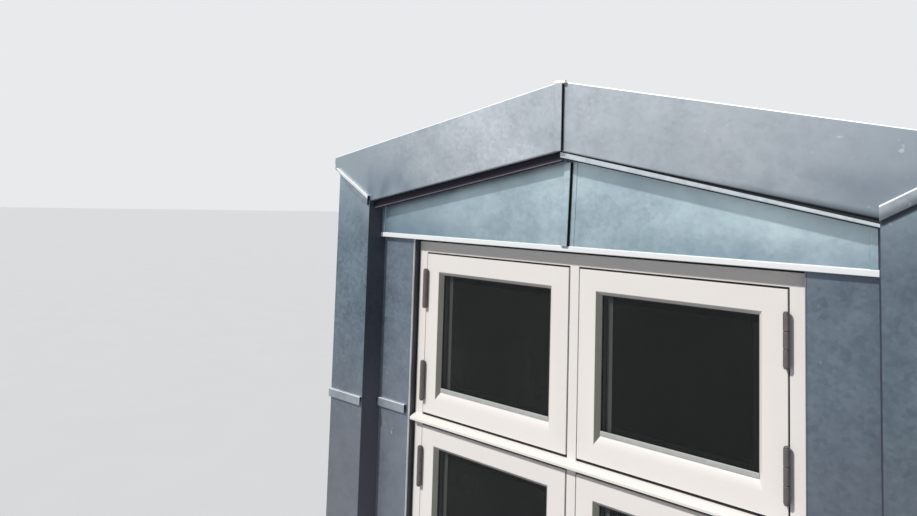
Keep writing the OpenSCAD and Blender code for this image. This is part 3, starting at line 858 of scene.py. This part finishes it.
# White drip
# A white coated drip under the gable panels, over the head of the window: a sheet that runs out from
# the wall, turns down and is folded back at its foot. A flange of the same sheet closes the head.
drip_low, drip_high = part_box("gable_drip")
drip_t = 0.0012
drip_bend = 0.002
drip_turn = Vector((0, 0.005, 0.002))
splay = (return_x - inner_x) / (side_y - face_y)
legs = [inward(drip_low.y - side_y), upward(drip_low.z - drip_high.z), drip_turn]
corner = Vector((-return_x, side_y, drip_high.z))
drip = folded("white_drip", corner, across(2 * return_x), legs, bend=drip_bend)
for way in (-1, 1):
    trim(drip, Vector((way * return_x, face_y, 0)), Vector((way, splay, 0)))
thicken(drip, drip_t)
flange = plate(
    "drip_flange",
    Vector((-turned_x, side_y, drip_high.z - sheet_t / 2)),
    across(2 * turned_x),
    inward(drip_high.y - side_y),
)
thicken(flange, drip_t)
white = ((240, 242, 243), (248, 249, 250))
drip_finish = grained("white_coating", *white, 9.0, 3.0, 0.25, spread=0.2, stretch=(0.4, 1, 1))
place_piece(drip, drip_finish, "bright_zinc", "gable_drip")
place_piece(flange, drip_finish, "bright_zinc")


# Linings
# The zinc lining under the projecting roof edge, with a narrow strip that hangs from it and is
# turned back at its lower edge. The lining is dark as painted shade, the right strip light as painted
# light and the left one dark as painted shade, with a painted highlight on its hem. A black sheet
# behind each strip is painted shade in the gaps above and below it.
strip_in = {"right": 0.005, "left": 0.018}
strip_top = {"right": 0.0045, "left": 0.003}
strip_taper = {"right": 0.007, "left": 0.0}
strip_drop = {"right": 0.0185, "left": 0.026}
strip_hem = 0.004
hem_share = 0.7
strip_turn = 0.006
strip_back = 0.008
strip_bend = 0.001
shade_sheet_in = 0.003
shade_sheet_show = 0.0035
# Painted shade: the lining is zinc given a dark finish.
lining_painted_shade = zinc("lining_zinc", (52, 50, 60), (66, 64, 74), rough=0.5)
# Painted light: the right strip gets a light copy of the zinc and the left strip a dark one.
strip_light_and_shade = {
    "right": zinc("right_strip_zinc", (176, 186, 192), (204, 212, 217), rough=0.35),
    "left": zinc("left_strip_zinc", (34, 32, 42), (48, 46, 56), rough=0.5),
}
# Painted highlight on the hem at the foot of the left strip.
strip_hem_highlight = zinc("strip_hem_zinc", (96, 90, 104), (122, 114, 126), rough=0.45)
run = Vector((return_x, 0, -return_x * roof_slope))
corner = Vector((0, face_y + foot_in, under_z - skin_t))
roof_lining = plate("lining_right", corner, run, inward(gable_y - corner.y))
thicken(roof_lining)
for side, lining in both_sides(roof_lining, "lining_left"):
    place_piece(lining, lining_painted_shade, "zinc", "soffit_" + side)
for side in ("right", "left"):
    drop = strip_drop[side]
    strip_y = face_y + strip_in[side]
    strip_run = run * ((return_x - splay * strip_in[side]) / return_x)
    corner = Vector((0, strip_y, under_z - strip_top[side]))
    first_leg = upward(strip_top[side] + strip_hem - drop)
    legs = [first_leg, upward(-strip_hem), inward(strip_turn), upward(strip_back)]
    strip = folded("hanging_strip_" + side, corner, strip_run, legs, bend=strip_bend)
    trim(strip, corner, Vector((roof_slope + strip_taper[side] / return_x, 0, 1)))
    thicken(strip)
    # Painted shade: a black sheet behind the strip that shows in the gaps above and below it.
    shade_sheet_corner = Vector((0, strip_y + shade_sheet_in, under_z))
    seal = plate("strip_shade_sheet_" + side, shade_sheet_corner, strip_run, upward(-drop - shade_sheet_show))
    thicken(seal)
    if side == "left":
        to_left(strip)
        to_left(seal)
    place_piece(strip, strip_light_and_shade[side], "zinc")
    place_piece(seal, black_tape_and_shade, "seal")
    if side == "left":
        hem_top = under_z - drop + strip_hem * hem_share
        paint_faces(strip, strip_hem_highlight, lambda middle, way: middle.z - middle.x * roof_slope < hem_top)


# Sill and apron
# A sloping zinc sill with a folded lip that sheds water over the apron panel below it, which is a
# flat sheet between the side panels.
sill_low, sill_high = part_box("sill_flashing")
sill_fall = 0.008
sill_lip = 0.022
sill_turn = 0.005
sill_bend = 0.002
legs = [
    inward(side_y - sill_high.y),
    Vector((0, sill_low.y - side_y, -sill_fall)),
    upward(-sill_lip),
    inward(sill_turn),
]
corner = Vector((-reveal_x, sill_high.y, sill_high.z))
sill = folded("sill_sheet", corner, across(2 * reveal_x), legs, bend=sill_bend)
thicken(sill)
place_piece(sill, panel_finish, "zinc", "sill_flashing")
dress(["apron_panel"], panel_finish)


# Window frame
# Planed softwood with a glossy off-white paint: jambs, head, bottom member, mullion and crossbar,
# with slightly rounded edges. It stands in a taped joint, and a black seal lies round each sash, which also
# darkens the gap as painted shade.
dress(["joint_seal"], black_tape_and_shade)
win_low, win_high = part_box("window_frame")
lights = {}
for row in ("upper", "lower"):
    for side in ("left", "right"):
        lights[row, side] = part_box(f"sash_{row}_{side}")
first_low, first_high = lights["upper", "left"]
sash_y = first_low.y
stop_y = first_high.y
frame_y = win_low.y
side_gap = 0.0035
head_gap = 0.005
foot_gap = 0.0085
stop_w = 0.014
edge_r = 0.0012
thin_edge_r = 0.0003
head_strip_h = 0.0155
head_strip_t = 0.0008
weather_in = 0.006
weather_t = 0.004


def cut_board(name, low, high, holes, y0, y1, round_r, merge=True):
    """A flat board with rectangular holes, drawn out to its depth, with its edges rounded."""

    def in_hole(middle, way):
        return any(a.x < middle.x < b.x and a.z < middle.z < b.z for a, b in holes)

    corner = Vector((low.x, y0, low.z))
    board = plate(name, corner, across(high.x - low.x), upward(high.z - low.z))
    for hole_low, hole_high in holes:
        for normal in ((1, 0, 0), (0, 0, 1)):
            for edge in (hole_low, hole_high):
                pick(board, "FACE")
                bpy.ops.mesh.bisect(plane_co=edge, plane_no=normal)
    pick(board, "FACE", in_hole)
    bpy.ops.mesh.delete(type="FACE")
    pick(board, "FACE")
    bpy.ops.mesh.extrude_region_move(TRANSFORM_OT_translate={"value": (0, y1 - y0, 0)})
    outward(merge)
    modify(board, "BEVEL", width=round_r, segments=2, limit_method="ANGLE")
    return board


def light_holes(narrow):
    """The four lights round their sashes, narrowed all round."""
    holes = []
    for low, high in lights.values():
        foot = Vector((low.x - side_gap + narrow, 0, low.z - foot_gap + narrow))
        holes.append((foot, Vector((high.x + side_gap - narrow, 0, high.z + head_gap - narrow))))
    return holes


def in_each_light(first):
    """A piece of the first light and its copies in the others, with each light's tag and corner."""
    name = first.name
    pieces = []
    for (row, side), (low, high) in lights.items():
        piece = copied(first, name, low - first_low) if pieces else first
        piece.name = f"{name}_{row}_{side}"
        pieces.append((f"{row}_{side}", low, piece))
    return pieces


paint_finish, paint_shader, paint_place = start_material("window_paint")
paint_cloud = noise(paint_place, 4.0, 3.0)
brush = noise(paint_place, 30.0, 2.0, stretch=(1, 1, 6))
paint_colour = blend(paint_cloud * 0.7 + brush * 0.3, linear(238, 232, 228), linear(246, 241, 237))
paint_height = brush * 0.3 + noise(paint_place, 260.0, 2.0) * 0.2
paint_relief = {"Height": paint_height, "Strength": 0.12, "Distance": 0.001}
paint_bump = brush.node("ShaderNodeBump", None, paint_relief)
connect(paint_shader, Base_Color=paint_colour, Roughness=brush * 0.12 + 0.26, Normal=paint_bump)
frame_front = cut_board("frame_front", win_low, win_high, light_holes(0), frame_y, stop_y, edge_r)
place_piece(frame_front, paint_finish, "paint", "window_frame")
frame_stops = cut_board("frame_stops", win_low, win_high, light_holes(stop_w), stop_y, win_high.y, edge_r)
place_piece(frame_stops, paint_finish, "paint")
# A black strip across the frame head, just under the drip.
corner = Vector((win_low.x, frame_y - head_strip_t, win_high.z - head_strip_h))
head_black_strip = plate("head_black_strip", corner, across(win_high.x - win_low.x), upward(head_strip_h))
thicken(head_black_strip, head_strip_t)
place_piece(head_black_strip, black_tape_and_shade, "seal")
seal_y = sash_y + weather_in
seal_end_y = seal_y + weather_t
corner = first_low - Vector((side_gap, 0, foot_gap))
corner_high = first_high + Vector((side_gap, 0, head_gap))
hole = (first_low, first_high)
# A real black weather seal in the gap round each sash, which also darkens the gap as painted shade.
weather_seal = cut_board("weather_seal", corner, corner_high, [hole], seal_y, seal_end_y, thin_edge_r)
for tag, low, seal in in_each_light(weather_seal):
    place_piece(seal, black_tape_and_shade, "seal")


# Crossbar moulding
# A weathered moulding glued on the front of the crossbar: a slope that sheds water, a rounded nose
# and a drip groove under it.
bar_low, bar_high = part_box("transom_moulding")
bar_y = bar_low.y
nose_h = 0.0085
nose_r = 0.0015
groove = (0.002, 0.0035, 0.005)
groove_h = 0.002
moulding = plate("crossbar_moulding", bar_low, inward(bar_high.y - bar_y), upward(bar_high.z - bar_low.z))
nose_top = Vector((0, bar_y, bar_low.z + nose_h))
trim(moulding, nose_top, Vector((0, nose_top.z - bar_high.z, sash_y - bar_y)))
for at in groove:
    pick(moulding, "FACE")
    bpy.ops.mesh.bisect(plane_co=(0, bar_y + at, 0), plane_no=(0, 1, 0))
pick(moulding, "VERT", lambda spot: abs(spot.y - bar_y - groove[1]) < hair and spot.z < bar_low.z + hair)
bpy.ops.transform.translate(value=(0, 0, groove_h))
pick(moulding, "VERT", lambda spot: spot.y < bar_y + hair)
bpy.ops.mesh.bevel(offset=nose_r, segments=3, affect="VERTICES")
pick(moulding, "FACE")
bpy.ops.mesh.extrude_region_move(TRANSFORM_OT_translate={"value": (bar_high.x - bar_low.x, 0, 0)})
outward(merge=True)
place_piece(moulding, paint_finish, "paint", "transom_moulding")


# Sashes
# Four side-hung sashes of the same painted softwood, bevelled towards the glass, with a wider slope
# and a grey bead under each pane, and painted shade on the left bevels. The double glazing sits in
# black gaskets, and bars part its sheets; its inner sheet is nearly opaque and dark as painted shade of
# the room, with painted reflections.
sash_face = 0.055
left_face = 0.051
bevel_w = 0.010
sill_face = 0.050
sill_bevel = 0.023
glass_in = 0.012
glass_t = 0.004
glass_edge = 0.0005
unit_t = 0.024
gasket_w = 0.002
gasket_t = 0.001
spacer_w = 0.003
bead_in = 0.005
bead_w = 0.016
bead_t = 0.0012
foot_bead_h = 0.012
foot_bead_t = 0.003
foot_bead_r = 0.0022
margin = sash_face + bevel_w
unit_low = Vector((first_low.x + margin, 0, first_low.z + sill_face + sill_bevel))
unit_high = Vector((first_high.x - margin, 0, first_high.z - margin))
foot_rise = unit_low.z - first_low.z - margin
glass_y = sash_y + glass_in
inner_y = glass_y + unit_t - glass_t


def slide_edge(piece, axis, at, y, by):
    """Moves one edge of a hole, which lies at a depth y and at a side (axis 0) or a height (axis 2)."""

    def on_line(middle, way):
        return abs(middle[axis] - at) < hair and abs(middle.y - y) < hair and abs(way[2 - axis]) > 0.9

    pick(piece, "EDGE", on_line)
    bpy.ops.transform.translate(value=[by if i == axis else 0 for i in range(3)])


def round_hole(middle, way):
    """True on the edges round the glass."""
    beside = unit_low.x - hair < middle.x < unit_high.x + hair
    return beside and unit_low.z - hair < middle.z < unit_high.z + hair


def ring_of(name, inset, width, y0, y1):
    """A thin rectangular ring, inset from the edge of the first pane."""
    low, high = unit_low + Vector((inset, 0, inset)), unit_high - Vector((inset, 0, inset))
    hole = (low + Vector((width, 0, width)), high - Vector((width, 0, width)))
    return cut_board(name, low, high, [hole], y0, y1, thin_edge_r, merge=False)


def glass_sheet(name, y):
    """One sheet of the first pane with ground edges."""
    sheet = block(name, unit_low + inward(y), unit_high + inward(y + glass_t))
    modify(sheet, "BEVEL", width=glass_edge, segments=1, limit_method="ANGLE")
    return sheet


clear = {"stretch": (1, 1, 0.4), "Alpha": 0.28, "Specular_IOR_Level": 0.35}
glass_finish = grained("outer_glass", (20, 22, 22), (30, 32, 32), 6.0, 3.0, 0.01, spread=0.03, **clear)
# Painted shade: the inner sheet is nearly opaque and dark for the unlit room behind, with painted
# reflections in its clouds and its lighter left side.
inner_glass_dark_room_shade, dark_shader, dark_place = start_material("inner_glass")
dark_cloud = noise(dark_place, 3.2, 4.0, shift=(5, 2, 1), distortion=1.0)
dark_left = blend(dark_cloud.rise(0.35, 0.75), linear(24, 23, 26), linear(46, 46, 43))
dark_right = blend(dark_cloud.rise(0.35, 0.75), linear(4, 3, 8), linear(18, 17, 18))
connect(dark_shader, Base_Color=blend(dark_place.axes()[0].rise(-0.1, 0.3), dark_left, dark_right))
connect(dark_shader, Roughness=0.12, Alpha=0.97, Specular_IOR_Level=0.3)
aluminium = ((136, 138, 140), (158, 160, 160))
spacer_finish = grained("spacer_aluminium", *aluminium, 120.0, 2.0, 0.4, spread=0.2, Metallic=0.3)
bead_finish = grained("grey_glazing_bead", (166, 168, 166), (192, 193, 190), 80.0, 2.0, 0.5)
# Painted shade: a grey copy of the paint for the left bevels.
left_bevel_shade = grained("dull_paint", (122, 122, 115), (142, 141, 134), 12.0, 3.0, 0.5)

sash_timber = block("sash_timber", first_low, first_high)
pick(sash_timber, "FACE", lambda middle, way: way.y < -0.9)
bpy.ops.mesh.inset(thickness=sash_face, depth=0)
bpy.ops.mesh.inset(thickness=bevel_w, depth=-glass_in)
bpy.ops.mesh.delete(type="FACE")
slide_edge(sash_timber, 2, first_low.z + sash_face, sash_y, sill_face - sash_face)
slide_edge(sash_timber, 0, first_low.x + sash_face, sash_y, left_face - sash_face)
slide_edge(sash_timber, 2, first_low.z + margin, glass_y, foot_rise)
pick(sash_timber, "FACE", lambda middle, way: way.y > 0.9)
bpy.ops.mesh.inset(thickness=margin, depth=0)
bpy.ops.mesh.delete(type="FACE")
slide_edge(sash_timber, 2, first_low.z + margin, first_high.y, foot_rise)
pick(sash_timber, "EDGE", round_hole)
bpy.ops.mesh.bridge_edge_loops()
outward()
modify(sash_timber, "BEVEL", width=edge_r, segments=2, limit_method="ANGLE", angle_limit=math.radians(40))
for tag, low, timber in in_each_light(sash_timber):
    place_piece(timber, paint_finish, "paint", "sash_" + tag)
    # The left bevels get the painted shade.
    bevel_x = (low.x + left_face, low.x + margin)
    paint_faces(timber, left_bevel_shade, lambda middle, way: way.x > 0.3 and bevel_x[0] < middle.x < bevel_x[1])

for tag, low, gasket in in_each_light(ring_of("gasket", 0, gasket_w, glass_y - gasket_t, glass_y)):
    place_piece(gasket, black_tape_and_shade, "seal")
for tag, low, spacer in in_each_light(ring_of("spacer", 0, spacer_w, glass_y + glass_t, inner_y)):
    place_piece(spacer, black_tape_and_shade, "hinge_steel")
    paint_faces(spacer, spacer_finish, lambda middle, way: way.x > 0.7)
for tag, low, bead in in_each_light(ring_of("inner_bead", bead_in, bead_w, inner_y - bead_t, inner_y)):
    place_piece(bead, black_tape_and_shade, "paint")
    bead_x = low.x + margin + bead_in + bead_w
    paint_faces(bead, spacer_finish, lambda middle, way: middle.x < bead_x and way.x < 0.99)
bead_top = unit_low.z + foot_bead_h
corner = unit_low + inward(glass_y - foot_bead_t)
foot_bead = block("foot_bead", corner, Vector((unit_high.x, glass_y, bead_top)))
pick(foot_bead, "EDGE", lambda middle, way: middle.y < corner.y + hair and middle.z > bead_top - hair)
bpy.ops.mesh.bevel(offset=foot_bead_r, segments=3, affect="EDGES")
for tag, low, bead in in_each_light(foot_bead):
    place_piece(bead, bead_finish, "paint")
for tag, low, sheet in in_each_light(glass_sheet("outer_glass", glass_y)):
    place_piece(sheet, glass_finish, "pane", "window_panes")
for tag, low, sheet in in_each_light(glass_sheet("inner_glass", inner_y)):
    place_piece(sheet, inner_glass_dark_room_shade, "pane")


# Hinges
# Eight steel lift-off hinges, modelled once: three knuckles on a pin with rounded ends, tips at both
# ends and a flat leaf on the sash.
hinge_l = 0.120
hinge_seat = 0.002
knuckle_r = 0.0075
knuckle_gap = 0.0008
knuckle_edge = 0.0012
pin_r = 0.0045
pin_proud = 0.003
pin_edge = 0.002
tip_r = 0.0062
tip_l = 0.0036
tip_out = 0.0012
tip_edge = 0.0015
leaf_t = 0.003
leaf_in = 0.006
leaf_out = 0.002
leaf_edge = 0.0006
hinge_marks = {"upper": (0.111, 0.101), "lower": (0.126, 0.101)}


def rod(name, middle, radius, length, round_end):
    """An upright round bar with rounded ends."""
    bpy.ops.object.select_all(action="DESELECT")
    bpy.ops.mesh.primitive_cylinder_add(vertices=24, radius=radius, depth=length, location=middle)
    bpy.ops.object.transform_apply(location=True, rotation=True, scale=True)
    bar = bpy.context.object
    bar.name = name
    pick(bar, "EDGE", lambda at, way: abs(at.z - middle.z) > length / 2 - hair and abs(way.z) < 0.1)
    bpy.ops.mesh.bevel(offset=round_end, segments=3, affect="EDGES")
    bpy.ops.object.mode_set(mode="OBJECT")
    return bar


def joined(name, parts):
    """Joins parts into one piece."""
    bpy.ops.object.select_all(action="DESELECT")
    for part in parts:
        part.select_set(True)
    bpy.context.view_layer.objects.active = parts[0]
    bpy.ops.object.join()
    parts[0].name = name
    return parts[0]


hinge_finish, hinge_shader, hinge_place = start_material("hinge_steel_finish")
hinge_cloud = noise(hinge_place, 60.0, 3.0)
hinge_relief = {"Height": hinge_cloud, "Strength": 0.15, "Distance": 0.001}
hinge_bump = hinge_cloud.node("ShaderNodeBump", None, hinge_relief)
hinge_colour = blend(hinge_cloud, linear(96, 92, 92), linear(124, 119, 117))
hinge_rough = hinge_cloud * 0.2 + 0.35
connect(hinge_shader, Base_Color=hinge_colour, Roughness=hinge_rough, Metallic=0.5, Normal=hinge_bump)
pin = Vector((lights["upper", "right"][1].x, sash_y - knuckle_r - leaf_t + hinge_seat, 0))
step = upward(hinge_l / 3)
parts = [rod("knuckle", pin + i * step, knuckle_r, step.z - knuckle_gap, knuckle_edge) for i in (-1, 0, 1)]
parts.append(rod("pin", pin, pin_r, hinge_l + 2 * pin_proud, pin_edge))
for end in (-1, 1):
    tip = pin + upward(end * (hinge_l / 2 + tip_out))
    parts.append(rod("tip", tip, tip_r, tip_l, tip_edge))
leaf_low = Vector((pin.x - leaf_in, sash_y - leaf_t, -hinge_l / 2))
leaf = block("leaf", leaf_low, Vector((pin.x + leaf_out, sash_y, hinge_l / 2)))
modify(leaf, "BEVEL", width=leaf_edge, segments=2, limit_method="ANGLE")
hinge = joined("hinge", parts + [leaf])
for (row, side), (low, high) in lights.items():
    from_top, from_foot = hinge_marks[row]
    for spot, z in (("top", high.z - from_top), ("foot", low.z + from_foot)):
        twin = copied(hinge, f"hinge_{row}_{side}_{spot}", upward(z))
        if side == "left":
            to_left(twin)
        place_piece(twin, hinge_finish, "hinge_steel", "window_hinges")
alone(hinge)
bpy.ops.object.delete()

low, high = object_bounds()
